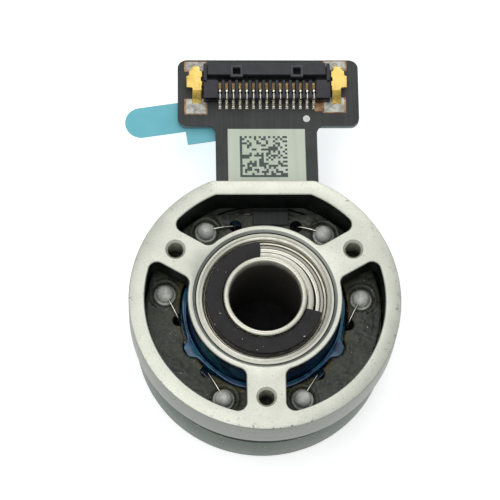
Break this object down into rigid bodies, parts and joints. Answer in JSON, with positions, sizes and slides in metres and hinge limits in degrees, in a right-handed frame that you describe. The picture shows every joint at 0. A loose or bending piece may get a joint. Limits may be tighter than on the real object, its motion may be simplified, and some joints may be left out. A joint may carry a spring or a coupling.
{
  "type": "hollow-shaft brushless gimbal motor",
  "caption": "Small flat brushless motor with a hollow shaft, a windowed aluminium mounting face, a turning rear shell and a flexible circuit tail that ends in a latching board connector.",
  "frame": {"origin": "on the shaft's axis, in the plane of the rotor's rear face", "axes": "+Z along the shaft towards the bracket's face, +Y towards the connector at the end of the flexible tail, +X to the right when +Y is up"},
  "size_m": [0.0199, 0.03, 0.0095],
  "materials": {
    "bracket": "satin, fine turned grain",
    "shell": "grey-green anodised, satin",
    "bearing": "ground bright steel",
    "shaft": "turned steel",
    "retainer": "black oxide, slightly rough",
    "magnet": "nickel plated",
    "lamination": "stamped stack",
    "insulation": "blue powder coat",
    "copper": "enamelled copper wire",
    "solder": "dull solder",
    "board": "dark circuit board under glossy potting",
    "flex": "dark grey coverlay",
    "label": "pale printed label",
    "liner": "thin satin film",
    "connector": "moulded black",
    "gold": "gold plated",
    "cage": "moulded polymer"
  },
  "bodies": {
    "stator": {"front_bracket": "bracket", "front_bearing_outer_race": "bearing", "front_bearing_shield": "bearing", "rear_bearing_outer_race": "bearing", "stator_core": "lamination", "front_core_insulator": "insulation", "rear_core_insulator": "insulation", "coil_1": "copper", "coil_2": "copper", "coil_3": "copper", "coil_4": "copper", "coil_5": "copper", "coil_6": "copper", "coil_7": "copper", "coil_8": "copper", "coil_9": "copper", "wiring_board": "board", "angle_sensor_1": "connector", "angle_sensor_2": "connector", "solder_joint_1": "solder", "solder_joint_2": "solder", "solder_joint_3": "solder", "solder_joint_4": "solder", "solder_joint_5": "solder", "solder_joint_6": "solder", "coil_lead_1": "solder", "coil_lead_2": "solder", "coil_lead_3": "solder", "coil_lead_4": "solder", "coil_lead_5": "solder", "coil_lead_6": "solder", "flex_tail": "flex", "pad_stiffener": "flex", "code_label": "label", "release_liner": "liner", "connector_housing": "connector", "contact_row": "gold", "left_hold_down": "gold", "right_hold_down": "gold"},
    "rotor": {"rotor_bell": "shell", "hollow_shaft": "shaft", "magnet_ring": "magnet", "retaining_ring": "retainer", "front_bearing_inner_race": "bearing", "rear_bearing_inner_race": "bearing"},
    "front_cage": {"front_bearing_cage": "cage", "front_bearing_ball_1": "bearing", "front_bearing_ball_2": "bearing", "front_bearing_ball_3": "bearing", "front_bearing_ball_4": "bearing", "front_bearing_ball_5": "bearing", "front_bearing_ball_6": "bearing", "front_bearing_ball_7": "bearing", "front_bearing_ball_8": "bearing"},
    "rear_cage": {"rear_bearing_ball_set": "bearing"},
    "latch": {"connector_latch": "connector"}
  },
  "joints": [
    {"name": "rotor_spin", "type": "hinge", "parent": "stator", "child": "rotor", "pos_m": [0, 0, 0], "axis": [0, 0, 1], "continuous": true},
    {"name": "front_cage_spin", "type": "hinge", "parent": "stator", "child": "front_cage", "pos_m": [0, 0, 0.0074], "axis": [0, 0, 1], "continuous": true},
    {"name": "rear_cage_spin", "type": "hinge", "parent": "stator", "child": "rear_cage", "pos_m": [0, 0, 0.0027], "axis": [0, 0, 1], "continuous": true},
    {"name": "latch_flip", "type": "hinge", "parent": "stator", "child": "latch", "pos_m": [0.0005, 0.0188, 0.0057], "axis": [1, 0, 0], "range_deg": [0, 90]}
  ],
  "couplings": [
    {"joint": "front_cage_spin", "follows": "rotor_spin", "ratio": 0.425},
    {"joint": "rear_cage_spin", "follows": "rotor_spin", "ratio": 0.425}
  ]
}
